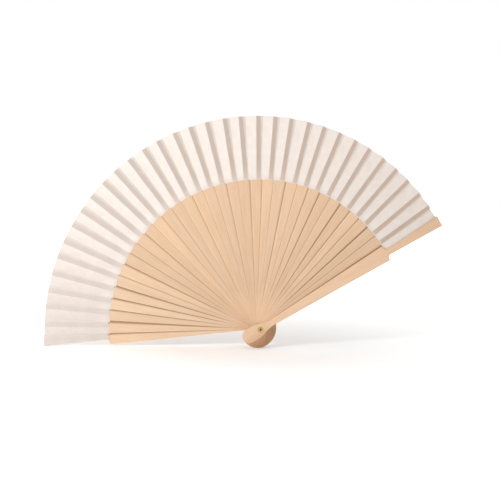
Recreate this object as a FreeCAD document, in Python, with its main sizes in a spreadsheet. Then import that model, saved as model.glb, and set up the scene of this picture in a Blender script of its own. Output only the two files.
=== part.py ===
"""Folding fan of thin wooden ribs between two thick guards, with a pleated cloth leaf.

Row frame, in millimetres: +X right, +Y away from the viewer, +Z up, with the fan open and upright. The
origin is on the rivet's axis, half way through the stack. Stick 0 is the front guard, sticks 1 to 32 are
the ribs, and stick 33 is the rear guard. Each stick lies behind the one before it. In a stick's own frame,
X runs from the rivet to the tip, Y through the stick, and Z across it, towards the next stick.
"""
import FreeCAD, Part
import math
import os

import Sketcher

V = FreeCAD.Vector
TOWARDS_VIEWER = V(0, -1, 0)

DIMENSIONS = {
    # the spread of the sticks, in degrees from +X
    "rib_count": 32,
    "front_angle": 31.4,
    "spread_step": 4.618,
    "uneven_angle": 0.15,
    "uneven_turn": 137,
    # the stack, along Y
    "stack_step": 0.6,
    "rib_thickness": 0.5,
    "guard_gap": 0.05,
    "guard_thickness": 2.8,
    # the outline that ribs and guards share, from the head to the shoulder
    "head_centre": 12.5,
    "head_flat": 7.0,
    "head_half": 7.0,
    "flare_reach": 3.5,
    "flare_half": 5.0,
    "flare_radius": 28.5625,
    "neck_reach": 14.0,
    "neck_half": 3.0,
    "shoulder_half": 8.1,
    "rib_shoulder": 148.2,
    # the guards beyond their shoulders
    "guard_shoulder": 147.0,
    "step_half": 6.2,
    "step_radius": 3.0,
    "waist_reach": 150.0,
    "waist_half": 3.2,
    "tip_half": 5.6,
    "guard_reach": 210.5,
    "relief_start": 145.5,
    "relief_reach": 212.0,
    "relief_depth": 1.5,
    "relief_half": 10.0,
    "edge_round": 0.5,
    # the ribs' softened front edges
    "bevel_depth": 0.2,
    "bevel_width": 0.55,
    # the thin guides that carry the leaf
    "guide_width": 5.2,
    "guide_thickness": 0.25,
    "guide_root": 140.0,
    "guide_reach": 209.2,
    "guide_tilt": 28.0,
    "tilt_start": 148.6,
    "tilt_end": 161.0,
    # the leaf
    "leaf_inner": 148.4,
    "leaf_outer": 209.5,
    "cloth_thickness": 0.12,
    "cloth_gap": 0.07,
    "fold_offset": 2.45,
    "end_flap": 4.0,
    # the hollow rivet and its washer
    "rivet_bore": 1.1,
    "rivet_radius": 1.5,
    "hole_radius": 1.55,
    "flange_radius": 2.4,
    "flange_thickness": 0.45,
    "flange_round": 0.2,
    "washer_radius": 2.6,
    "washer_thickness": 0.25,
    "seat_radius": 2.75,
    "seat_depth": 0.8,
    "seat_play": 0.05,
}

doc = FreeCAD.newDocument("folding_fan")
sheet = doc.addObject("Spreadsheet::Sheet", "Dimensions")
for row, (alias, number) in enumerate(DIMENSIONS.items(), start=1):
    sheet.set(f"A{row}", alias)
    sheet.set(f"B{row}", str(number))
    sheet.setAlias(f"B{row}", alias)
doc.recompute()


def size(name):
    """A driving dimension from the spreadsheet, negative for a name written with a minus sign."""
    if name.startswith("-"):
        return -float(sheet.get(name[1:]))
    return float(sheet.get(name))


def new_body(label):
    """A PartDesign body whose label is its sub-part's name."""
    body = doc.addObject("PartDesign::Body", label)
    body.Label = label
    return body


def new_sketch(body, name, role):
    """An empty sketch on one of the body's own origin planes."""
    sketch = body.newObject("Sketcher::SketchObject", name)
    plane = next(f for f in body.Origin.OriginFeatures if f.Role == role)
    sketch.AttachmentSupport = (plane, [""])
    sketch.MapMode = "FlatFace"
    return sketch


def bind(sketch, constraint, name, expression):
    """Add a dimensional constraint and drive it with an expression."""
    number = sketch.addConstraint(constraint)
    sketch.renameConstraint(number, name)
    sketch.setExpression(f"Constraints.{name}", expression)


def pin_point(sketch, edge, end, names):
    """Hold one end of an edge at two driving dimensions, measured from the sketch's origin."""
    for kind, name in zip(("DistanceX", "DistanceY"), names):
        points = ((edge, end), (-1, 1)) if name.startswith("-") else ((-1, 1), (edge, end))
        alias = name.lstrip("-")
        constraint = Sketcher.Constraint(kind, *points[0], *points[1], size(alias))
        bind(sketch, constraint, f"{kind}_{edge}_{end}", f"Dimensions.{alias}")


def arc_through(start, end, radius):
    """An arc from start to end, bulging right of its chord, or left if radius is negative."""
    chord = end - start
    right = V(chord.y, -chord.x, 0).normalize()
    half = chord.Length / 2
    rise = abs(radius) - math.sqrt(max(radius * radius - half * half, 0))
    middle = (start + end) * 0.5 + right * math.copysign(rise, radius)
    return Part.Arc(start, middle, end)


def closed_outline(sketch, corners, arcs):
    """A closed outline through corners, anticlockwise, with every size bound to the spreadsheet.

    A corner is two signed names. arcs maps an edge's number to (signed radius name, centre or radius), the
    second saying which of the two holds the arc.
    """
    places = [V(size(across), size(up), 0) for across, up in corners]
    for number, start in enumerate(places):
        end = places[(number + 1) % len(places)]
        if number in arcs:
            sketch.addGeometry(arc_through(start, end, size(arcs[number][0])), False)
        else:
            sketch.addGeometry(Part.LineSegment(start, end), False)
    first = [1 if sketch.getPoint(n, 1).isEqual(place, 1e-6) else 2 for n, place in enumerate(places)]
    for number, start in enumerate(first):
        following = (number + 1) % len(places)
        joint = Sketcher.Constraint("Coincident", number, 3 - start, following, first[following])
        sketch.addConstraint(joint)
        pin_point(sketch, number, start, corners[number])
    for number, (radius, held) in arcs.items():
        alias = radius.lstrip("-")
        if held == "radius":
            constraint = Sketcher.Constraint("Radius", number, size(alias))
            bind(sketch, constraint, f"radius_{number}", f"Dimensions.{alias}")
        else:
            constraint = Sketcher.Constraint("DistanceX", number, 3, -1, 1, size(held))
            bind(sketch, constraint, f"centre_{number}", f"Dimensions.{held}")


def round_hole(sketch, alias):
    """A circle about the sketch's origin."""
    number = sketch.addGeometry(Part.Circle(V(0, 0, 0), V(0, 0, 1), size(alias)), False)
    sketch.addConstraint(Sketcher.Constraint("Coincident", number, 3, -1, 1))
    bind(sketch, Sketcher.Constraint("Radius", number, size(alias)), "hole", f"Dimensions.{alias}")


def stick_outline(body, beyond_shoulder, beyond_arcs):
    """A stick's outline: round head, flare, neck and tapering blade, then the corners beyond, tip last."""
    lower = [
        ("-head_centre", "-head_half"),
        ("-head_flat", "-head_half"),
        ("flare_reach", "-flare_half"),
        ("neck_reach", "-neck_half"),
    ]
    outer = [(reach, "-" + half) for reach, half in beyond_shoulder]
    upper = [(reach, half.lstrip("-")) for reach, half in reversed(lower + outer)]
    corners = lower + outer + upper
    last = len(corners) - 1
    arcs = {1: ("flare_radius", "radius"), 2: ("-flare_radius", "radius")}
    arcs.update({len(lower) + edge: (radius, "radius") for edge, radius in beyond_arcs.items()})
    arcs.update({last - 1 - edge: arc for edge, arc in arcs.items()})
    arcs[last] = ("head_half", "head_centre")
    sketch = new_sketch(body, f"{body.Name}_outline", "XZ_Plane")
    closed_outline(sketch, corners, arcs)
    round_hole(sketch, "hole_radius")
    return sketch


def padded(body, sketch, thickness):
    """A pad of a sketch, half its thickness to each side."""
    pad = body.newObject("PartDesign::Pad", f"{body.Name}_pad")
    pad.Profile = sketch
    pad.SideType = "Symmetric"
    pad.setExpression("Length", f"Dimensions.{thickness}")
    return pad


def guide_section(body, reach, tilt):
    """The guide's rectangular section at one distance from the rivet, tilted or flat."""
    sketch = new_sketch(body, f"{body.Name}_guide_at_{reach}", "YZ_Plane")
    half_deep = size("guide_thickness") / 2
    half_wide = size("guide_width") / 2
    signs = [(-1, -1), (1, -1), (1, 1), (-1, 1)]
    corners = [V(a * half_deep, b * half_wide, 0) for a, b in signs]
    for number, corner in enumerate(corners):
        sketch.addGeometry(Part.LineSegment(corner, corners[(number + 1) % 4]), False)
    for number in range(4):
        sketch.addConstraint(Sketcher.Constraint("Coincident", number, 2, (number + 1) % 4, 1))
        sketch.addConstraint(Sketcher.Constraint(("Horizontal", "Vertical")[number % 2], number))
    sketch.addConstraint(Sketcher.Constraint("Symmetric", 0, 1, 2, 1, -1, 1))
    across = Sketcher.Constraint("DistanceX", 0, 1, 0, 2, 2 * half_deep)
    bind(sketch, across, "deep", "Dimensions.guide_thickness")
    along = Sketcher.Constraint("DistanceY", 1, 1, 1, 2, 2 * half_wide)
    bind(sketch, along, "wide", "Dimensions.guide_width")
    sketch.AttachmentOffset = FreeCAD.Placement(V(0, 0, size(reach)), FreeCAD.Rotation(V(0, 0, 1), tilt))
    sketch.setExpression("AttachmentOffset.Base.z", f"Dimensions.{reach}")
    if tilt:
        sketch.setExpression("AttachmentOffset.Rotation.Angle", "Dimensions.guide_tilt")
    return sketch


def soften_blade(body):
    """Bevel the blade's two long front edges, wider than deep, as sanding leaves them."""
    front = -size("rib_thickness") / 2
    blade = size("rib_shoulder") - size("neck_reach")
    long_edges = [
        f"Edge{number}"
        for number, edge in enumerate(body.Shape.Edges, start=1)
        if abs(edge.BoundBox.YMax - front) < 1e-6 and abs(edge.BoundBox.XLength - blade) < 1e-6
    ]
    whole = body.Tip
    bevel = body.newObject("PartDesign::Chamfer", "soft_front_edges")
    bevel.Base = (whole, long_edges)
    bevel.ChamferType = "Two distances"
    bevel.setExpression("Size", "Dimensions.bevel_depth")
    bevel.setExpression("Size2", "Dimensions.bevel_width")


def make_rib_pattern():
    """The rib that all the others are copies of: a flat blade, and a thin guide that twists at its root."""
    body = new_body("rib_pattern")
    outline = stick_outline(body, [("rib_shoulder", "shoulder_half")], {})
    padded(body, outline, "rib_thickness")
    doc.recompute()
    soften_blade(body)
    tilt = size("guide_tilt")
    sections = [
        guide_section(body, reach, angle)
        for reach, angle in (("guide_root", 0), ("tilt_start", 0), ("tilt_end", tilt), ("guide_reach", tilt))
    ]
    guide = body.newObject("PartDesign::AdditiveLoft", "guide")
    guide.Profile = sections[0]
    guide.Sections = sections[1:]
    guide.Ruled = True
    return body


def cut(body, name, sketch, depth, outward):
    """A pocket of a sketch on a guard's face, cut towards its middle."""
    pocket = body.newObject("PartDesign::Pocket", f"{body.Name}_{name}")
    pocket.Profile = sketch
    pocket.Reversed = outward > 0
    pocket.setExpression("Length", f"Dimensions.{depth}")
    return pocket


def face_sketch(body, name, side):
    """A sketch on a guard's face at +Y, for a side of 1, or at -Y, for -1."""
    sketch = new_sketch(body, f"{body.Name}_{name}", "XZ_Plane")
    middle_to_face = V(0, 0, -side * size("guard_thickness") / 2)
    sketch.AttachmentOffset = FreeCAD.Placement(middle_to_face, FreeCAD.Rotation())
    sketch.setExpression("AttachmentOffset.Base.z", f"{-side} * Dimensions.guard_thickness / 2")
    return sketch


def make_guard(label, outward):
    """A guard, thinned on its inner face beyond the shoulder. outward is the side of Y that it faces."""
    body = new_body(label)
    beyond = [
        ("guard_shoulder", "shoulder_half"),
        ("guard_shoulder", "step_half"),
        ("waist_reach", "waist_half"),
        ("guard_reach", "tip_half"),
    ]
    outline = stick_outline(body, beyond, {1: "-step_radius"})
    padded(body, outline, "guard_thickness")
    doc.recompute()
    whole = body.Shape.Volume

    relief = face_sketch(body, "relief", -outward)
    corners = [
        ("relief_start", "-relief_half"),
        ("relief_reach", "-relief_half"),
        ("relief_reach", "relief_half"),
        ("relief_start", "relief_half"),
    ]
    closed_outline(relief, corners, {})
    cut(body, "relief_cut", relief, "relief_depth", -outward)
    doc.recompute()
    thinned = body.Shape.Volume

    seat = face_sketch(body, "seat", outward)
    round_hole(seat, "seat_radius")
    cut(body, "seat_cut", seat, "seat_depth", outward)
    doc.recompute()
    if not whole > thinned > body.Shape.Volume:
        raise RuntimeError(f"a pocket of {label} cuts nothing")

    face = outward * size("guard_thickness") / 2
    outer_edges = [
        f"Edge{number}"
        for number, edge in enumerate(body.Shape.Edges, start=1)
        if abs(edge.BoundBox.YMin - face) < 1e-6 and abs(edge.BoundBox.YMax - face) < 1e-6
        and edge.BoundBox.DiagonalLength > 3 * size("seat_radius")
    ]
    bored = body.Tip
    soft = body.newObject("PartDesign::Fillet", f"{label}_soft_edge")
    soft.Base = (bored, outer_edges)
    soft.setExpression("Radius", "Dimensions.edge_round")
    return body


def stick_expressions(stick):
    """Where a stick lies in the stack and how far round it stands, as two expressions."""
    middle = (size("rib_count") + 1) / 2
    depth = f"{stick - middle} * Dimensions.stack_step"
    turn = f"Dimensions.front_angle + {stick} * Dimensions.spread_step"
    if 0 < stick <= size("rib_count"):
        turn += f" + Dimensions.uneven_angle * sin({stick} * Dimensions.uneven_turn)"
    else:
        side = math.copysign(1, stick - middle)
        depth = (
            f"{side} * ((Dimensions.rib_count - 1) / 2 * Dimensions.stack_step"
            " + Dimensions.rib_thickness / 2 + Dimensions.guard_gap + Dimensions.guard_thickness / 2)"
        )
    return depth, turn


def stick_angle(stick):
    """The same angle as a number, in degrees."""
    angle = size("front_angle") + stick * size("spread_step")
    if 0 < stick <= size("rib_count"):
        angle += size("uneven_angle") * math.sin(math.radians(stick * size("uneven_turn")))
    return angle


def place_stick(body, stick):
    """Turn a stick about the rivet and move it to its layer of the stack."""
    depth, turn = stick_expressions(stick)
    body.Placement = FreeCAD.Placement(V(0, 0, 0), FreeCAD.Rotation(TOWARDS_VIEWER, stick_angle(stick)))
    body.setExpression("Placement.Base.y", depth)
    body.setExpression("Placement.Rotation.Angle", turn)


def rib_plane(stick):
    """The middle of a rib's blade, along Y."""
    return (stick - (size("rib_count") + 1) / 2) * size("stack_step")


def guard_plane(side):
    """The middle of the leaf where it is glued flat on a guard's thinned inner face."""
    last_rib = (size("rib_count") - 1) / 2 * size("stack_step")
    inner = last_rib + size("rib_thickness") / 2 + size("guard_gap") + size("relief_depth")
    return side * (inner - size("cloth_gap") - size("cloth_thickness") / 2)


def tilt_slope(reach):
    """How far the cloth on a guide falls back for each millimetre across it."""
    share = (reach - size("tilt_start")) / (size("tilt_end") - size("tilt_start"))
    return min(max(share, 0), 1) * math.tan(math.radians(size("guide_tilt")))


def leaf_folds(reach):
    """The leaf's folds at one distance from the rivet, as (angle in radians, Y), from the front guard on.

    Each stick carries a panel from its valley fold to its mountain fold, and a free panel joins that
    mountain fold to the next stick's valley fold. Folds run parallel to their own stick.
    """
    last = int(size("rib_count")) + 1
    half_step = math.radians(size("spread_step")) / 2
    lift = size("guide_thickness") / 2 / math.cos(math.radians(size("guide_tilt")))
    lift += size("cloth_gap") + size("cloth_thickness") / 2
    valley, mountain = size("fold_offset") - reach * half_step, size("fold_offset")
    folds = []
    for stick in range(last + 1):
        slope, depth = tilt_slope(reach), rib_plane(stick) - lift
        if stick in (0, last):
            slope, depth = 0, guard_plane(-1 if stick == 0 else 1)
        ends = (valley, size("end_flap")) if stick == last else (valley, mountain)
        if stick == 0:
            ends = (-mountain, mountain)
        for across in ends:
            turn = math.radians(stick_angle(stick)) + math.atan2(across, reach)
            folds.append((turn, math.hypot(across, reach), depth - across * slope))
    return folds


def make_leaf():
    """The pleated cloth as one closed solid of flat facets, rib panels and free panels in turn."""
    reaches = [size("leaf_inner"), size("tilt_start"), size("tilt_end"), size("leaf_outer")]
    half = size("cloth_thickness") / 2
    rows = []
    for reach in reaches:
        folds = leaf_folds(reach)
        rows.append([V(r * math.cos(turn), y, r * math.sin(turn)) for turn, r, y in folds])
    front = [[p + V(0, -half, 0) for p in row] for row in rows]
    back = [[p + V(0, half, 0) for p in row] for row in rows]
    faces = []

    def facets(a, b, c, d):
        for corners in ((a, b, c), (a, c, d)):
            faces.append(Part.Face(Part.makePolygon([*corners, corners[0]])))

    across = range(len(rows[0]) - 1)
    for low in range(len(rows) - 1):
        for side in (front, back):
            for n in across:
                facets(side[low][n], side[low][n + 1], side[low + 1][n + 1], side[low + 1][n])
        for n in (0, -1):
            facets(front[low][n], back[low][n], back[low + 1][n], front[low + 1][n])
    for end in (0, -1):
        for n in across:
            facets(front[end][n], front[end][n + 1], back[end][n + 1], back[end][n])
    leaf = doc.addObject("Part::Feature", "leaf")
    leaf.Label = "leaf"
    leaf.Shape = Part.makeSolid(Part.makeShell(faces))
    return leaf


STACK_HALF = (
    "(Dimensions.rib_count - 1) / 2 * Dimensions.stack_step + Dimensions.rib_thickness / 2"
    " + Dimensions.guard_gap + Dimensions.guard_thickness"
)


def seat_floor():
    """The height of the bottom of a guard's rivet seat above the middle of the stack."""
    last_rib = (size("rib_count") - 1) / 2 * size("stack_step")
    stack = last_rib + size("rib_thickness") / 2 + size("guard_gap") + size("guard_thickness")
    return stack - size("seat_depth")


def above_seat(side, names):
    """A height on one side of the stack, some thicknesses above the seat, as (number, expression)."""
    text = " + ".join([f"{STACK_HALF} - Dimensions.seat_depth"] + [f"Dimensions.{name}" for name in names])
    return side * (seat_floor() + sum(size(name) for name in names)), text


def turned(label, profile):
    """A ring turned about Y from a closed profile of corners (radius name, (height, its expression))."""
    body = new_body(label)
    sketch = new_sketch(body, f"{label}_profile", "XY_Plane")
    places = [V(size(radius), height, 0) for radius, (height, _) in profile]
    for number, start in enumerate(places):
        sketch.addGeometry(Part.LineSegment(start, places[(number + 1) % len(places)]), False)
    for number, (radius, (height, text)) in enumerate(profile):
        following = (number + 1) % len(profile)
        sketch.addConstraint(Sketcher.Constraint("Coincident", number, 2, following, 1))
        radial = Sketcher.Constraint("DistanceX", -1, 1, number, 1, size(radius))
        bind(sketch, radial, f"radius_{number}", f"Dimensions.{radius}")
        points = ((-1, 1), (number, 1)) if height > 0 else ((number, 1), (-1, 1))
        axial = Sketcher.Constraint("DistanceY", *points[0], *points[1], abs(height))
        bind(sketch, axial, f"height_{number}", text)
    turn = body.newObject("PartDesign::Revolution", f"{label}_turn")
    turn.Profile = sketch
    turn.ReferenceAxis = (sketch, ["V_Axis"])
    turn.Angle = 360
    return body


def make_rivet():
    """A hollow rivet with a rolled flange at each end, sunk in the guards' seats."""
    front_low = above_seat(-1, ["seat_play"])
    front_top = above_seat(-1, ["seat_play", "flange_thickness"])
    rear_low = above_seat(1, ["washer_thickness"])
    rear_top = above_seat(1, ["washer_thickness", "flange_thickness"])
    profile = [
        ("rivet_bore", front_top),
        ("flange_radius", front_top),
        ("flange_radius", front_low),
        ("rivet_radius", front_low),
        ("rivet_radius", rear_low),
        ("flange_radius", rear_low),
        ("flange_radius", rear_top),
        ("rivet_bore", rear_top),
    ]
    body = turned("rivet", profile)
    doc.recompute()
    rims = [
        f"Edge{number}"
        for number, edge in enumerate(body.Shape.Edges, start=1)
        if hasattr(edge.Curve, "Radius")
        and abs(abs(edge.CenterOfMass.y) - abs(edge_height(edge, front_top, rear_top))) < 1e-6
    ]
    turn = body.Tip
    rolled = body.newObject("PartDesign::Fillet", "rivet_rolled_rims")
    rolled.Base = (turn, rims)
    rolled.setExpression("Radius", "Dimensions.flange_round")
    return body


def edge_height(edge, front, rear):
    """The rivet's end height on the side of the stack where an edge is."""
    return front[0] if edge.CenterOfMass.y < 0 else rear[0]


def make_washer():
    """The flat ring between the rear guard and the rivet's rear flange."""
    low, top = above_seat(1, []), above_seat(1, ["washer_thickness"])
    corners = [("hole_radius", low), ("washer_radius", low), ("washer_radius", top), ("hole_radius", top)]
    return turned("rivet_washer", corners)


def check_document():
    """Stop if any object of the document failed to compute."""
    for item in doc.Objects:
        if {"Invalid", "Error"} & set(item.State):
            raise RuntimeError(f"{item.Label} is {item.State}")


def write_parts(parts):
    """Check each sub-part's solid and write it under its own name."""
    os.makedirs("parts", exist_ok=True)
    for part in parts:
        shape = part.Shape
        if shape.isNull() or not shape.isValid() or len(shape.Solids) != 1 or shape.Volume <= 0:
            raise RuntimeError(f"{part.Label} has no single valid solid")
        shape.exportStep(f"parts/{part.Label}.step")
        print(f"{part.Label}: {shape.Volume:.2f} mm3")


rib_pattern = make_rib_pattern()
doc.recompute()
front_guard = make_guard("front_guard", -1)
rear_guard = make_guard("rear_guard", 1)
place_stick(front_guard, 0)
place_stick(rear_guard, int(size("rib_count")) + 1)
ribs = []
for stick in range(1, int(size("rib_count")) + 1):
    rib = new_body(f"rib_{stick:02d}")
    rib.BaseFeature = rib_pattern
    place_stick(rib, stick)
    ribs.append(rib)
leaf = make_leaf()
rivet = make_rivet()
washer = make_washer()
doc.recompute()
check_document()
write_parts([front_guard, *ribs, rear_guard, leaf, rivet, washer])
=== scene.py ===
"""Looks of the folding fan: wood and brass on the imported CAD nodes, and the pleated cloth leaf in mesh
code.

Metres, in the CAD model's frame: +X right, +Y away from the viewer, +Z up, origin on the rivet's axis.
Stick 0 is the front guard, sticks 1 to 32 are the ribs and stick 33 is the rear guard. A stick's "reach" is
the distance from the rivet along it, and "across" runs square to it, towards the next stick.
"""
import math
import random
from collections import Counter

import bpy
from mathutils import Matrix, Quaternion, Vector


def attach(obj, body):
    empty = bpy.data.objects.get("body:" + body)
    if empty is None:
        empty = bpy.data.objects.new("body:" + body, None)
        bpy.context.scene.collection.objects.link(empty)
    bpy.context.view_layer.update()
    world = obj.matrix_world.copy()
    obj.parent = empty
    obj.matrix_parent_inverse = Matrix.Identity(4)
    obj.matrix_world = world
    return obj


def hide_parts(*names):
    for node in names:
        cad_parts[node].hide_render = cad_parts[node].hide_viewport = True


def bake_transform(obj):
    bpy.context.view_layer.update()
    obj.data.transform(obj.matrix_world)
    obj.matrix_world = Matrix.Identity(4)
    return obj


MM = 0.001
RANDOM_SEED = 7

# the spread and the stack, as the CAD model has them
RIB_COUNT = 32
FRONT_ANGLE = 31.4
SPREAD_STEP = 4.618
UNEVEN_ANGLE = 0.15
UNEVEN_TURN = 137
STACK_STEP = 0.6 * MM
BLADE_HALF_THICK = 0.25 * MM
BLADE_SHOULDER = 148.2 * MM
BLADE_HALF_WIDE = 8.1 * MM
NECK_REACH = 14.0 * MM
NECK_HALF_WIDE = 3.0 * MM
GUARD_RELIEF_FACE = 11.1 * MM
GUARD_WAIST = (150.0 * MM, 3.2 * MM)
GUARD_TIP = (210.5 * MM, 5.6 * MM)
GUIDE_HALF_WIDE = 2.6 * MM
GUIDE_HALF_THICK = 0.125 * MM
GUIDE_TILT = math.tan(math.radians(28))
TILT_START = 148.6 * MM
TILT_END = 161.0 * MM

# a guide that leans is this much thicker along Y than square to its face
GUIDE_DEEPER = 1.13

# the cloth: GLUED_SHARE is of the spread pleat's width, BLEND_REACH is where the blend's span is measured,
# and BILLOW is how far the middle of a free panel swells forward, in mm
CLOTH_THICK = 0.1 * MM
CLOTH_CLEAR = 0.04 * MM
MOUNTAIN_ACROSS = 2.45 * MM
GLUED_SHARE = 0.44
BLEND_REACH = 187.0 * MM
CLOTH_OUTER = 209.5 * MM
CLOTH_INNER = 147.4 * MM
INNER_SKEW = 2.3 * MM
OUTER_RISE = 0.15 * MM
BILLOW = (-0.15, 0.25)
LIFT_OVER_BLADE = 2.5 * MM
FOLD_SHARP = 25
PANEL_ROWS = 26
PANEL_COLUMNS = 7
AREA_SLICES = 40

LAST = RIB_COUNT + 1
STICKS = ["front_guard", *(f"rib_{n:02d}" for n in range(1, LAST)), "rear_guard"]

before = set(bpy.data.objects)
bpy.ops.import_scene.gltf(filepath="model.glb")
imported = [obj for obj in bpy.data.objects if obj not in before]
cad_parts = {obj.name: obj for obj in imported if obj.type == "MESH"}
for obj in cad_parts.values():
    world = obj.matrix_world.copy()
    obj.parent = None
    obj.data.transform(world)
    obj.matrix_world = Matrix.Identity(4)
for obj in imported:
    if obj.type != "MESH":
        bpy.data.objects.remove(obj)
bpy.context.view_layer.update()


def stick_angle(stick):
    """How far round a stick stands, in radians from +X."""
    angle = FRONT_ANGLE + stick * SPREAD_STEP
    if 0 < stick < LAST:
        angle += UNEVEN_ANGLE * math.sin(math.radians(stick * UNEVEN_TURN))
    return math.radians(angle)


def smooth(value, low, high):
    """0 below low, 1 above high, and a smooth step between."""
    share = min(max((value - low) / (high - low), 0.0), 1.0)
    return share * share * (3 - 2 * share)


def mix(a, b, share):
    return a + (b - a) * share


def in_frame(stick, reach, across, depth):
    """The place in the whole fan's frame of a point given in one stick's reach, across and depth."""
    angle = stick_angle(stick)
    along, side = (math.cos(angle), math.sin(angle)), (-math.sin(angle), math.cos(angle))
    x = reach * along[0] + across * side[0]
    z = reach * along[1] + across * side[1]
    return Vector((x, depth, z))


# ---------------------------------------------------------------- node helpers

def new_material(name):
    material = bpy.data.materials.new(name)
    material.use_nodes = True
    nodes = material.node_tree.nodes
    return material, nodes, material.node_tree.links, nodes["Principled BSDF"]


def add(nodes, kind, **settings):
    """A node, with its properties, or its inputs by name, set."""
    node = nodes.new(kind)
    for name, value in settings.items():
        if hasattr(node, name):
            setattr(node, name, value)
        else:
            node.inputs[name.replace("_", " ")].default_value = value
    return node


def maths(nodes, links, operation, *values):
    """A Math node on sockets or numbers."""
    node = nodes.new("ShaderNodeMath")
    node.operation = operation
    for number, value in enumerate(values):
        if isinstance(value, (int, float)):
            node.inputs[number].default_value = value
        else:
            links.new(value, node.inputs[number])
    return node.outputs[0]


def colour_ramp(nodes, links, factor, stops):
    """A ColorRamp over stops of (position, colour)."""
    node = nodes.new("ShaderNodeValToRGB")
    while len(node.color_ramp.elements) < len(stops):
        node.color_ramp.elements.new(0.5)
    for element, (position, colour) in zip(node.color_ramp.elements, stops):
        element.position = position
        element.color = (*colour, 1)
    links.new(factor, node.inputs["Fac"])
    return node.outputs["Color"]


def mixed(nodes, links, blend, factor, first, second):
    """A colour Mix node. factor is a socket or a number, and second may be a plain colour."""
    node = nodes.new("ShaderNodeMix")
    node.data_type = "RGBA"
    node.blend_type = blend
    if isinstance(factor, (int, float)):
        node.inputs["Factor"].default_value = factor
    else:
        links.new(factor, node.inputs["Factor"])
    links.new(first, node.inputs["A"])
    if isinstance(second, tuple):
        node.inputs["B"].default_value = (*second, 1)
    else:
        links.new(second, node.inputs["B"])
    return node.outputs["Result"]


def noise(nodes, links, vector, scale, detail, roughness=0.55):
    node = add(nodes, "ShaderNodeTexNoise", Scale=scale, Detail=detail, Roughness=roughness)
    links.new(vector, node.inputs["Vector"])
    return node.outputs["Fac"]


# ---------------------------------------------------------------- wood

WOOD_PALE = (0.790, 0.560, 0.380)
WOOD_MIDDLE = (0.745, 0.510, 0.335)
WOOD_DARK = (0.620, 0.395, 0.240)
# painted shadow: the tone of the shade line that each stick casts on the one behind it
CONTACT_SHADOW_TONE = (0.52, 0.42, 0.34)
# painted highlight: the lighter line along each stick's own edge, where light catches it
EDGE_HIGHLIGHT = (1.10, 1.12, 1.14)
# painted shade on the low side of the heads
HEAD_SHADE = (0.77, 0.62, 0.50)
# how much paler a blade is made close to the head
NEAR_HEAD_PALER = (1.15, 1.16, 1.17)

GROWTH_STRETCH = (6, 60, 60)
FIBRE_STRETCH = (30, 900, 900)
FLECK_STRETCH = (160, 2600, 2600)
PORE_TONE = (0.80, 0.72, 0.64)
UNMARKED = (1, 1, 1)
STREAK_SHARE = 0.16
PORE_SHARE = 0.5

EDGE_HIGHLIGHT_TURNS = 0.007
HEAD_END = 9 * MM
# the painted shadow line and the painted highlight fade in from HEAD_END to this reach
PAINTED_EDGES_FULL = 45 * MM
# painted shade: the front guard darkens from this reach to its tip, standing in for the lamp's falloff
# along it
TIP_SHADE_START = 60 * MM
GUARD_TIP_SHADE = (0.82, 0.80, 0.80)
LOW_SIDE = (0.707, 0.0, -0.707)
# where the painted head shade falls: towards the low side of the head and close to the rivet
HEAD_SHADE_FROM = -4 * MM
HEAD_SHADE_FULL = 15 * MM
HEAD_SHADE_REACH_FULL = 2 * MM
HEAD_SHADE_REACH_END = 12 * MM

# a blade's half width at a reach is BLADE_ROOT + BLADE_FLARE * reach
BLADE_FLARE = (BLADE_HALF_WIDE - NECK_HALF_WIDE) / (BLADE_SHOULDER - NECK_REACH)
BLADE_ROOT = BLADE_HALF_WIDE - BLADE_FLARE * BLADE_SHOULDER


def stretched(nodes, links, source, scale):
    """Coordinates scaled by axis, for grain that runs along X."""
    node = add(nodes, "ShaderNodeMapping", Scale=scale)
    links.new(source, node.inputs["Vector"])
    return node.outputs["Vector"]


def edge_line(nodes, links, reach, across, root, flare, turns):
    """1 below the line across = root + flare * reach, fading above it to 0 over an angle of turns radians:
    a long thin wedge."""
    line = maths(nodes, links, "MULTIPLY_ADD", reach, flare, root)
    share = maths(nodes, links, "DIVIDE", maths(nodes, links, "SUBTRACT", across, line), reach)
    fade = add(nodes, "ShaderNodeMapRange", From_Max=turns, To_Min=1.0, To_Max=0.0)
    fade.interpolation_type = "SMOOTHSTEP"
    links.new(share, fade.inputs["Value"])
    return fade.outputs["Result"]


def grain(nodes, links, along, shade):
    """The wood's own colour, multiplied by shade, and the noises of its fibres and pores."""
    growth = noise(nodes, links, stretched(nodes, links, along, GROWTH_STRETCH), scale=5.0, detail=3.0)
    fibre = stretched(nodes, links, along, FIBRE_STRETCH)
    fibre = noise(nodes, links, fibre, scale=1.6, detail=5.0, roughness=0.65)
    fleck = noise(nodes, links, stretched(nodes, links, along, FLECK_STRETCH), scale=1.0, detail=2.0)
    base = colour_ramp(nodes, links, growth, [(0.30, WOOD_MIDDLE), (0.62, WOOD_PALE)])
    streaks = colour_ramp(nodes, links, fibre, [(0.36, WOOD_DARK), (0.56, WOOD_PALE)])
    base = mixed(nodes, links, "MIX", STREAK_SHARE, base, streaks)
    pores = colour_ramp(nodes, links, fleck, [(0.28, PORE_TONE), (0.40, UNMARKED)])
    base = mixed(nodes, links, "MULTIPLY", PORE_SHARE, base, pores)
    return mixed(nodes, links, "MULTIPLY", 1.0, base, shade), fibre, fleck


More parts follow.
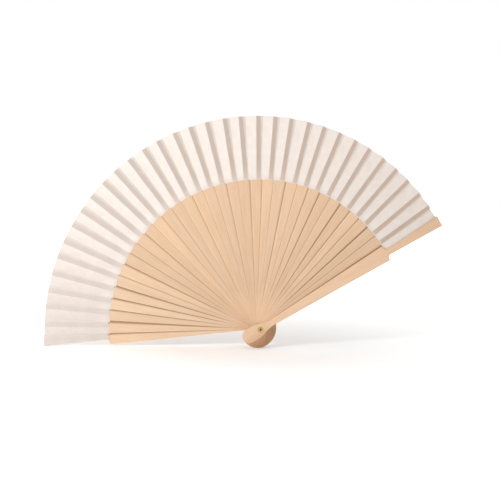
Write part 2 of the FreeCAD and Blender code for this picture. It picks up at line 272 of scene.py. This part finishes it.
def blade_shadow_and_highlight(nodes, links, base, reach, across, shadow_strength, shadow_turns):
    """Paints a shadow line on the blade just beyond the edge of the stick in front, where its shade falls,
    paints a highlight along the stick's own edge, and makes the blade of a stick that has a shadow line
    paler near the head."""
    past_head = add(nodes, "ShaderNodeMapRange", From_Min=HEAD_END, From_Max=PAINTED_EDGES_FULL)
    links.new(reach, past_head.inputs["Value"])
    past_head = past_head.outputs["Result"]
    # a stick with a shadow line is made paler close to the head
    if shadow_strength:
        near_head = maths(nodes, links, "SUBTRACT", 1.0, past_head)
        off_centre = add(nodes, "ShaderNodeMapRange", From_Max=HEAD_END)
        links.new(reach, off_centre.inputs["Value"])
        paler_near_head = maths(nodes, links, "MULTIPLY", near_head, off_centre.outputs["Result"])
        base = mixed(nodes, links, "MULTIPLY", paler_near_head, base, NEAR_HEAD_PALER)
    inside = maths(nodes, links, "LESS_THAN", reach, BLADE_SHOULDER)
    on_blade = maths(nodes, links, "MULTIPLY", past_head, inside)
    # painted shadow: a dark line on the blade just beyond the edge of the stick in front, where its shade
    # falls
    shadow_flare = BLADE_FLARE - math.radians(SPREAD_STEP)
    contact = edge_line(nodes, links, reach, across, BLADE_ROOT, shadow_flare, shadow_turns)
    contact = maths(nodes, links, "MULTIPLY", contact, on_blade)
    contact = maths(nodes, links, "MULTIPLY", contact, shadow_strength)
    base = mixed(nodes, links, "MULTIPLY", contact, base, CONTACT_SHADOW_TONE)
    # painted highlight along the stick's own edge
    outward = maths(nodes, links, "MULTIPLY", across, -1.0)
    highlight_line = edge_line(nodes, links, reach, outward, -BLADE_ROOT, -BLADE_FLARE, EDGE_HIGHLIGHT_TURNS)
    highlight_line = maths(nodes, links, "MULTIPLY", highlight_line, on_blade)
    return mixed(nodes, links, "MULTIPLY", highlight_line, base, EDGE_HIGHLIGHT)


def paint_head_shade(nodes, links, base, place, reach):
    """Painted shade: darkens the low side of the head, standing in for the shadow on the stacked rib heads
    behind the front guard's head.
    """
    low_side = add(nodes, "ShaderNodeVectorMath", operation="DOT_PRODUCT")
    links.new(place, low_side.inputs[0])
    low_side.inputs[1].default_value = LOW_SIDE
    shade_side = add(nodes, "ShaderNodeMapRange", From_Min=HEAD_SHADE_FROM, From_Max=HEAD_SHADE_FULL)
    links.new(low_side.outputs["Value"], shade_side.inputs["Value"])
    head = add(nodes, "ShaderNodeMapRange", From_Min=HEAD_SHADE_REACH_END, From_Max=HEAD_SHADE_REACH_FULL)
    links.new(reach, head.inputs["Value"])
    held_or_shaded = maths(nodes, links, "MULTIPLY", shade_side.outputs["Result"], head.outputs["Result"])
    return mixed(nodes, links, "MULTIPLY", held_or_shaded, base, HEAD_SHADE)


def wood(name, angle, shade, offset, shadow_strength, shadow_turns, tip_shade=None):
    """Pale, sanded wood with its grain along a stick that stands at angle, with a painted shadow line where
    the stick in front overlaps it, a painted highlight on its own edge and painted shade on the low side of
    its head. A stick given a tip colour takes that colour towards its far end, as painted shade."""
    material, nodes, links, shader = new_material(name)
    place = add(nodes, "ShaderNodeTexCoord").outputs["Object"]
    own = add(nodes, "ShaderNodeMapping", Rotation=(0, angle, 0))
    links.new(place, own.inputs["Vector"])
    parts = nodes.new("ShaderNodeSeparateXYZ")
    links.new(own.outputs["Vector"], parts.inputs["Vector"])
    reach, across = parts.outputs["X"], parts.outputs["Z"]
    moved = add(nodes, "ShaderNodeMapping", Location=offset)
    links.new(own.outputs["Vector"], moved.inputs["Vector"])

    base, fibre, fleck = grain(nodes, links, moved.outputs["Vector"], shade)
    # painted shade: darker towards the tip, for the lamp's falloff
    if tip_shade is not None:
        tip_shaded = add(nodes, "ShaderNodeMapRange", From_Min=TIP_SHADE_START, From_Max=GUARD_TIP[0])
        links.new(reach, tip_shaded.inputs["Value"])
        base = mixed(nodes, links, "MULTIPLY", tip_shaded.outputs["Result"], base, tip_shade)
    base = blade_shadow_and_highlight(nodes, links, base, reach, across, shadow_strength, shadow_turns)
    base = paint_head_shade(nodes, links, base, place, reach)
    links.new(base, shader.inputs["Base Color"])

    rough = add(nodes, "ShaderNodeMapRange", To_Min=0.50, To_Max=0.66)
    links.new(fibre, rough.inputs["Value"])
    links.new(rough.outputs["Result"], shader.inputs["Roughness"])
    bump = add(nodes, "ShaderNodeBump", Strength=0.25, Distance=0.0001)
    links.new(maths(nodes, links, "ADD", fibre, fleck), bump.inputs["Height"])
    links.new(bump.outputs["Normal"], shader.inputs["Normal"])
    shader.inputs["Specular IOR Level"].default_value = 0.35
    return material


def dress(node, material):
    """Give a CAD node its material, whatever slots it came with."""
    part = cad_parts[node]
    part.data.materials.clear()
    part.data.materials.append(material)


# how light and how warm each stick is, from its own chance and, for the ribs' lightness and the rear
# warmth, from how far back it lies: each pair runs from the front sticks to the rear ones, as does the
# width of the painted shadow lines. The ribs made lighter towards the rear guard are painted light, for the
# lamp on that side.
STICK_LIGHT = (0.955, 1.035)
RIB_PAINTED_LIGHT = (0.91, 1.02)
GUARD_LIGHT = 1.06
STICK_WARM = (-0.012, 0.012)
REAR_WARM = (0.012, -0.03)
REAR_STICKS = (24, 31)
GRAIN_SHIFT = (-5, 5)

# how strong and how wide the painted shadow lines are, the shade each stick casts on the one behind it:
# weakest on the quiet stick
QUIET_STICK = 19
QUIET_SHADOW = 0.45
SHADOW_GROWTH = 0.7
SHADOW_LIMIT = 1.2
SPAN_BEFORE_QUIET = 14
SPAN_AFTER_QUIET = 10
CONTACT_SHADOW_TURNS = (0.0145, 0.024)


def contact_shadow_strength(stick):
    """How dark the painted shadow line is that the stick in front casts. Nothing lies in front of the front
    guard.
    """
    if stick == 0:
        return 0.0
    span = SPAN_BEFORE_QUIET if stick < QUIET_STICK else SPAN_AFTER_QUIET
    return min(QUIET_SHADOW + SHADOW_GROWTH * ((stick - QUIET_STICK) / span) ** 2, SHADOW_LIMIT)


def paint_sticks(chance):
    for stick, node in enumerate(STICKS):
        is_rib = 0 < stick < LAST
        rear = smooth(stick, *REAR_STICKS)
        light = chance.uniform(*STICK_LIGHT) * (mix(*RIB_PAINTED_LIGHT, rear) if is_rib else GUARD_LIGHT)
        warm = chance.uniform(*STICK_WARM) + mix(*REAR_WARM, rear)
        shade = (light + warm, light, light - warm)
        offset = tuple(chance.uniform(*GRAIN_SHIFT) for _ in range(3))
        tip_shade = GUARD_TIP_SHADE if stick == 0 else None
        shadow_turns = mix(*CONTACT_SHADOW_TURNS, rear)
        angle = stick_angle(stick)
        look = wood(f"wood_{node}", angle, shade, offset, contact_shadow_strength(stick), shadow_turns, tip_shade)
        dress(node, look)


# ---------------------------------------------------------------- brass

BRASS_DULL = (0.56, 0.37, 0.09)
BRASS_BRIGHT = (0.82, 0.60, 0.22)


def brass():
    """Rolled brass, a little dulled, with a fine unevenness."""
    material, nodes, links, shader = new_material("brass")
    place = add(nodes, "ShaderNodeTexCoord").outputs["Object"]
    dull = noise(nodes, links, place, scale=900.0, detail=4.0, roughness=0.6)
    tone = colour_ramp(nodes, links, dull, [(0.30, BRASS_DULL), (0.70, BRASS_BRIGHT)])
    links.new(tone, shader.inputs["Base Color"])
    rough = add(nodes, "ShaderNodeMapRange", To_Min=0.22, To_Max=0.42)
    links.new(dull, rough.inputs["Value"])
    links.new(rough.outputs["Result"], shader.inputs["Roughness"])
    bump = add(nodes, "ShaderNodeBump", Strength=0.15, Distance=0.00005)
    links.new(dull, bump.inputs["Height"])
    links.new(bump.outputs["Normal"], shader.inputs["Normal"])
    shader.inputs["Metallic"].default_value = 1.0
    return material


# ---------------------------------------------------------------- cloth

CLOTH_LIGHT = (0.892, 0.832, 0.788)
CLOTH_SHADE = (0.852, 0.784, 0.736)
CLOTH_OVER_WOOD = (0.705, 0.540, 0.428)
CLOTH_SLUB = (0.93, 0.92, 0.90)
SLUB_STRETCH = (1400, 180, 1)
SLUB_SHARE = 0.6
THREAD_PITCH = 0.32 * MM
STRIP_SOFT = 0.7 * MM
GUIDE_PATCHY = 0.5
GUIDE_LEAST = 0.68
# how strongly the guides show through, from the front guard to the rear guard; the fall towards the rear is
# painted light
GUIDE_SHOW_FADE = (1.0, 0.08)
LET_THROUGH = 0.26


def cloth():
    """Thin plain-woven cotton. The mesh attribute "cloth" holds metres across from the middle of a guide,
    metres along it, and how strongly that wooden guide shows through, which fades towards the rear guard as
    painted light."""
    material, nodes, links, shader = new_material("cotton")
    told = add(nodes, "ShaderNodeAttribute", attribute_name="cloth")
    parts = nodes.new("ShaderNodeSeparateXYZ")
    links.new(told.outputs["Vector"], parts.inputs["Vector"])
    across, along, guide = parts.outputs

    threads = []
    for direction in (across, along):
        turns = maths(nodes, links, "MULTIPLY", direction, 2 * math.pi / THREAD_PITCH)
        threads.append(maths(nodes, links, "SINE", turns))
    weave = maths(nodes, links, "MULTIPLY", threads[0], threads[1])

    flat = nodes.new("ShaderNodeCombineXYZ")
    links.new(across, flat.inputs["X"])
    links.new(along, flat.inputs["Y"])
    slub = stretched(nodes, links, flat.outputs["Vector"], SLUB_STRETCH)
    slub = noise(nodes, links, slub, scale=1.0, detail=3.0)
    cloud = noise(nodes, links, flat.outputs["Vector"], scale=90.0, detail=3.0)

    base = colour_ramp(nodes, links, cloud, [(0.30, CLOTH_SHADE), (0.70, CLOTH_LIGHT)])
    patchy = maths(nodes, links, "MULTIPLY_ADD", cloud, GUIDE_PATCHY, GUIDE_LEAST)
    beside = add(nodes, "ShaderNodeMapRange", To_Min=1.0, To_Max=0.0)
    beside.inputs["From Min"].default_value = GUIDE_HALF_WIDE - STRIP_SOFT
    beside.inputs["From Max"].default_value = GUIDE_HALF_WIDE
    links.new(maths(nodes, links, "ABSOLUTE", across), beside.inputs["Value"])
    beyond = maths(nodes, links, "GREATER_THAN", along, BLADE_SHOULDER)
    over_guide = maths(nodes, links, "MULTIPLY", beside.outputs["Result"], beyond)
    shows = maths(nodes, links, "MULTIPLY", guide, patchy)
    shows = maths(nodes, links, "MULTIPLY", shows, over_guide)
    base = mixed(nodes, links, "MIX", shows, base, CLOTH_OVER_WOOD)
    slubs = colour_ramp(nodes, links, slub, [(0.30, CLOTH_SLUB), (0.65, UNMARKED)])
    base = mixed(nodes, links, "MULTIPLY", SLUB_SHARE, base, slubs)
    links.new(base, shader.inputs["Base Color"])

    height = maths(nodes, links, "ADD", weave, slub)
    bump = add(nodes, "ShaderNodeBump", Strength=0.3, Distance=0.00006)
    links.new(height, bump.inputs["Height"])
    links.new(bump.outputs["Normal"], shader.inputs["Normal"])
    shader.inputs["Roughness"].default_value = 0.85
    shader.inputs["Specular IOR Level"].default_value = 0.2
    shader.inputs["Sheen Weight"].default_value = 0.15

    glow = add(nodes, "ShaderNodeBsdfTranslucent")
    links.new(base, glow.inputs["Color"])
    both = add(nodes, "ShaderNodeMixShader", Fac=LET_THROUGH)
    links.new(shader.outputs["BSDF"], both.inputs[1])
    links.new(glow.outputs["BSDF"], both.inputs[2])
    links.new(both.outputs["Shader"], nodes["Material Output"].inputs["Surface"])
    return material


def blade_plane(stick):
    return (stick - (RIB_COUNT + 1) / 2) * STACK_STEP


def guide_slope(reach):
    """How far the cloth falls back for each metre across a guide, at one reach."""
    return smooth(reach, TILT_START, TILT_END) * GUIDE_TILT


def cloth_depth(stick, reach, across):
    """Where the cloth glued to a stick lies, along Y."""
    if stick in (0, LAST):
        side = -1 if stick == 0 else 1
        return side * (GUARD_RELIEF_FACE - CLOTH_CLEAR - CLOTH_THICK)
    beyond = smooth(reach, BLADE_SHOULDER, TILT_END)
    on_blade = BLADE_HALF_THICK + CLOTH_CLEAR + CLOTH_THICK / 2
    on_guide = GUIDE_HALF_THICK * GUIDE_DEEPER + 2 * CLOTH_CLEAR + CLOTH_THICK / 2
    return blade_plane(stick) - mix(on_blade, on_guide, beyond) - across * guide_slope(reach)


def valley_across(reach):
    """The valley fold before a stick, measured from that stick."""
    return MOUNTAIN_ACROSS - reach * math.radians(SPREAD_STEP) * GLUED_SHARE


def inner_reach(stick, share):
    """The cloth's cut inner edge, lower at the far side of each pleat, more so towards the rear guard."""
    skew = INNER_SKEW * stick / LAST
    return CLOTH_INNER + skew * (0.5 - share)


def outer_reach(stick, share):
    """The cut outer edge: each mountain fold stands a little higher than the valleys beside it, and the
    last panel laps over the rear guard's tip."""
    if stick == LAST:
        return GUARD_TIP[0] + CLOTH_THICK
    return CLOTH_OUTER - OUTER_RISE * abs(share - 0.5) * 2


def guard_half(reach):
    """Half the width of a guard's narrow end at one reach."""
    share = (reach - GUARD_WAIST[0]) / (GUARD_TIP[0] - GUARD_WAIST[0])
    return mix(GUARD_WAIST[1], GUARD_TIP[1], share)


def grid_mesh(name, columns, material):
    """A sheet through columns of (points, cloth coordinates), all of one length."""
    points = [point for column, _ in columns for point in column]
    told = [value for _, values in columns for value in values]
    rows = len(columns[0][0])
    faces = []
    for n in range(len(columns) - 1):
        for row in range(rows - 1):
            corner = n * rows + row
            faces.append((corner, corner + rows, corner + rows + 1, corner + 1))
    mesh = bpy.data.meshes.new(name)
    mesh.from_pydata(points, [], faces)
    layer = mesh.attributes.new("cloth", "FLOAT_VECTOR", "POINT")
    layer.data.foreach_set("vector", [number for value in told for number in value])
    mesh.polygons.foreach_set("use_smooth", [True] * len(faces))
    mesh.set_sharp_from_angle(angle=math.radians(FOLD_SHARP))
    uses = Counter(key for polygon in mesh.polygons for key in polygon.edge_keys)
    for edge in mesh.edges:
        if uses[edge.key] == 1:
            edge.use_edge_sharp = True
    mesh.materials.append(material)
    piece = bpy.data.objects.new(name, mesh)
    bpy.context.scene.collection.objects.link(piece)
    thick = piece.modifiers.new("thickness", "SOLIDIFY")
    thick.thickness = CLOTH_THICK
    thick.offset = 0
    return piece


def guide_show_through(stick):
    """The guides show most through the cloth near the front guard. Their fading towards the rear guard is
    painted light: it stands in for the lamp lighting the glued panels on that side.
    """
    return mix(*GUIDE_SHOW_FADE, stick / LAST)


def rib_panel_column(stick, share, place):
    """One column of the panel glued to a stick: place runs from 0 at the valley to 1 at the mountain."""
    points, told = [], []
    for row in range(PANEL_ROWS + 1):
        up = row / PANEL_ROWS
        reach = mix(inner_reach(stick, share), outer_reach(stick, share), up)
        start = -MOUNTAIN_ACROSS if stick == 0 else valley_across(reach)
        end = guard_half(reach) if stick == LAST else MOUNTAIN_ACROSS
        across = mix(start, end, place)
        points.append(in_frame(stick, reach, across, cloth_depth(stick, reach, across)))
        told.append((across, reach, guide_show_through(stick)))
    return points, told


def free_panel_column(stick, share, place, wave):
    """One column of the panel that hangs between a stick and the next, with a slight billow of wave mm."""
    points, told = [], []
    for row in range(PANEL_ROWS + 1):
        up = row / PANEL_ROWS
        reach = mix(inner_reach(stick, share), outer_reach(stick, share), up)
        near = in_frame(stick, reach, MOUNTAIN_ACROSS, cloth_depth(stick, reach, MOUNTAIN_ACROSS))
        far_across = valley_across(reach)
        far = in_frame(stick + 1, reach, far_across, cloth_depth(stick + 1, reach, far_across))
        point = near.lerp(far, place)
        billow = math.sin(math.pi * place) * math.sin(math.pi * up) * wave * MM
        on_blade = 1 - smooth(reach, BLADE_SHOULDER, BLADE_SHOULDER + LIFT_OVER_BLADE)
        held_or_shaded = near.y if stick > 0 else point.y
        point.y = mix(point.y, min(point.y, held_or_shaded), on_blade) - billow
        points.append(point)
        from_guide = MOUNTAIN_ACROSS + place * (near - far).length
        told.append((from_guide, reach, guide_show_through(stick)))
    return points, told


def pleat(stick, material, chance):
    """The panel on a stick and the free panel after it, as one piece of cloth."""
    columns = []
    for n in range(PANEL_COLUMNS + 1):
        place = n / PANEL_COLUMNS
        columns.append(rib_panel_column(stick, place / 2, place))
    wave = chance.uniform(*BILLOW)
    for n in range(1, PANEL_COLUMNS + 1):
        place = n / PANEL_COLUMNS
        columns.append(free_panel_column(stick, 0.5 + place / 2, place, wave))
    return grid_mesh(f"leaf_pleat_{stick:02d}", columns, material)


def cut_size(stick):
    """A pleat's flat (width, length) and its true area, tapered towards the rivet."""
    def width(reach):
        whole = reach * math.radians(SPREAD_STEP)
        glued = whole * GLUED_SHARE
        deep = guide_slope(reach) * glued
        return math.hypot(glued, deep) + math.hypot(whole - glued, deep)

    low, high = inner_reach(stick, 0.5), outer_reach(stick, 0.5)
    length = high - low
    middles = [mix(low, high, (n + 0.5) / AREA_SLICES) for n in range(AREA_SLICES)]
    area = sum(width(reach) for reach in middles) / AREA_SLICES * length
    return (width(high), length), area


def blend_span(stick):
    """Where a pleat's blend starts, on its mountain fold, and where it ends, by the valley after it. The
    line between them is turned by half the free panel's wedge, which keeps the closed cloth in line."""
    middle = mix(CLOTH_INNER, CLOTH_OUTER, 0.5)
    wedge = math.radians(SPREAD_STEP) * (1 - GLUED_SHARE)
    wide = BLEND_REACH * wedge
    inward, sideways = wide * math.sin(wedge / 2), wide * math.cos(wedge / 2)
    mountain = in_frame(stick, middle, MOUNTAIN_ACROSS, 0)
    valley = in_frame(stick, middle - inward, MOUNTAIN_ACROSS + sideways, 0)
    return mountain, valley


def make_pleats(material, chance):
    """The pleats, each built from its own stick to the next one."""
    for stick in range(LAST):
        piece = pleat(stick, material, chance)
        mountain, valley = blend_span(stick)
        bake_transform(piece)
        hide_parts("leaf")
        flat, area = cut_size(stick)


def make_end_panel(material):
    """The last panel, glued flat on the rear guard."""
    columns = []
    for n in range(PANEL_COLUMNS + 1):
        place = n / PANEL_COLUMNS
        columns.append(rib_panel_column(LAST, place / 2, place))
    end = grid_mesh("leaf_end_panel", columns, material)
    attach(end, "rear_guard")
    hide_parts("leaf")


# ---------------------------------------------------------------- stage

CENTRE = (-0.01, 0.0, 0.09)
WHITE = (1, 1, 1, 1)

FLOOR_HEIGHT = -19.5 * MM
FLOOR_HALF = 6.0
FLOOR_WHITE = (0.9, 0.9, 0.9, 1)
GLOW_FROM = 0.08
GLOW_FULL = 0.62
GLOW_LEAST = 0.17
GLOW_MOST = 0.75

KEY_PLACE = (-0.66, -0.52, 0.37)
KEY_SIZE = 0.18
KEY_POWER = 3.35
KEY_COLOUR = (1.0, 0.985, 0.965)
WORLD_SIDE = (0.26, 0.20, 0.0)
WORLD_LEVEL = 0.72

LENS = 75.3
SENSOR_WIDTH = 36.0
CAMERA_PLACE = (-0.1664, -1.0194, 0.1465)
CAMERA_TARGET = (-0.0103, 0.0, 0.0776)
CAMERA_ROLL = 1.2


def make_floor():
    """The white floor that the fan stands on. It glows a little, and more so far away."""
    mesh = bpy.data.meshes.new("floor")
    half = FLOOR_HALF
    corners = [(-half, -half, 0), (half, -half, 0), (half, half, 0), (-half, half, 0)]
    mesh.from_pydata(corners, [], [(0, 1, 2, 3)])
    floor = bpy.data.objects.new("floor", mesh)
    floor.location.z = FLOOR_HEIGHT
    bpy.context.scene.collection.objects.link(floor)
    material, nodes, links, shader = new_material("paper_floor")
    place = add(nodes, "ShaderNodeTexCoord").outputs["Object"]
    far = nodes.new("ShaderNodeVectorMath")
    far.operation = "LENGTH"
    links.new(place, far.inputs[0])
    glow = add(nodes, "ShaderNodeMapRange", From_Min=GLOW_FROM, From_Max=GLOW_FULL)
    glow.inputs["To Min"].default_value = GLOW_LEAST
    glow.inputs["To Max"].default_value = GLOW_MOST
    links.new(far.outputs["Value"], glow.inputs["Value"])
    links.new(glow.outputs["Result"], shader.inputs["Emission Strength"])
    shader.inputs["Emission Color"].default_value = WHITE
    shader.inputs["Base Color"].default_value = FLOOR_WHITE
    shader.inputs["Roughness"].default_value = 0.9
    mesh.materials.append(material)


def make_key():
    """The one lamp, in front of the fan and up to its left."""
    light = bpy.data.lights.new("key", "AREA")
    light.shape = "DISK"
    light.size = KEY_SIZE
    light.energy = KEY_POWER
    light.color = KEY_COLOUR
    lamp = bpy.data.objects.new("key", light)
    lamp.location = KEY_PLACE
    aim = (Vector(CENTRE) - Vector(KEY_PLACE)).to_track_quat("-Z", "Y")
    lamp.rotation_euler = aim.to_euler()
    bpy.context.scene.collection.objects.link(lamp)


def make_world():
    """White all round, stronger towards WORLD_SIDE, and plain white where the camera sees it."""
    world = bpy.data.worlds.new("studio")
    world.use_nodes = True
    nodes, links = world.node_tree.nodes, world.node_tree.links
    seen = nodes.new("ShaderNodeLightPath").outputs["Is Camera Ray"]
    side = add(nodes, "ShaderNodeVectorMath", operation="DOT_PRODUCT")
    links.new(add(nodes, "ShaderNodeTexCoord").outputs["Generated"], side.inputs[0])
    side.inputs[1].default_value = WORLD_SIDE
    strength = maths(nodes, links, "ADD", side.outputs["Value"], WORLD_LEVEL)
    lit = maths(nodes, links, "MAXIMUM", seen, strength)
    links.new(lit, nodes["Background"].inputs["Strength"])
    nodes["Background"].inputs["Color"].default_value = WHITE
    bpy.context.scene.world = world


def make_camera():
    data = bpy.data.cameras.new("camera")
    data.lens = LENS
    data.sensor_width = SENSOR_WIDTH
    camera = bpy.data.objects.new("camera", data)
    camera.location = CAMERA_PLACE
    aim = (Vector(CAMERA_TARGET) - camera.location).to_track_quat("-Z", "Y")
    roll = Quaternion((0, 0, 1), math.radians(CAMERA_ROLL))
    camera.rotation_euler = (aim @ roll).to_euler()
    bpy.context.scene.collection.objects.link(camera)
    bpy.context.scene.camera = camera
    bpy.context.scene.view_settings.view_transform = "Standard"


chance = random.Random(RANDOM_SEED)
paint_sticks(chance)
for ring in ("rivet", "rivet_washer"):
    dress(ring, brass())
cotton = cloth()
make_pleats(cotton, chance)
make_end_panel(cotton)
make_floor()
make_key()
make_world()
make_camera()
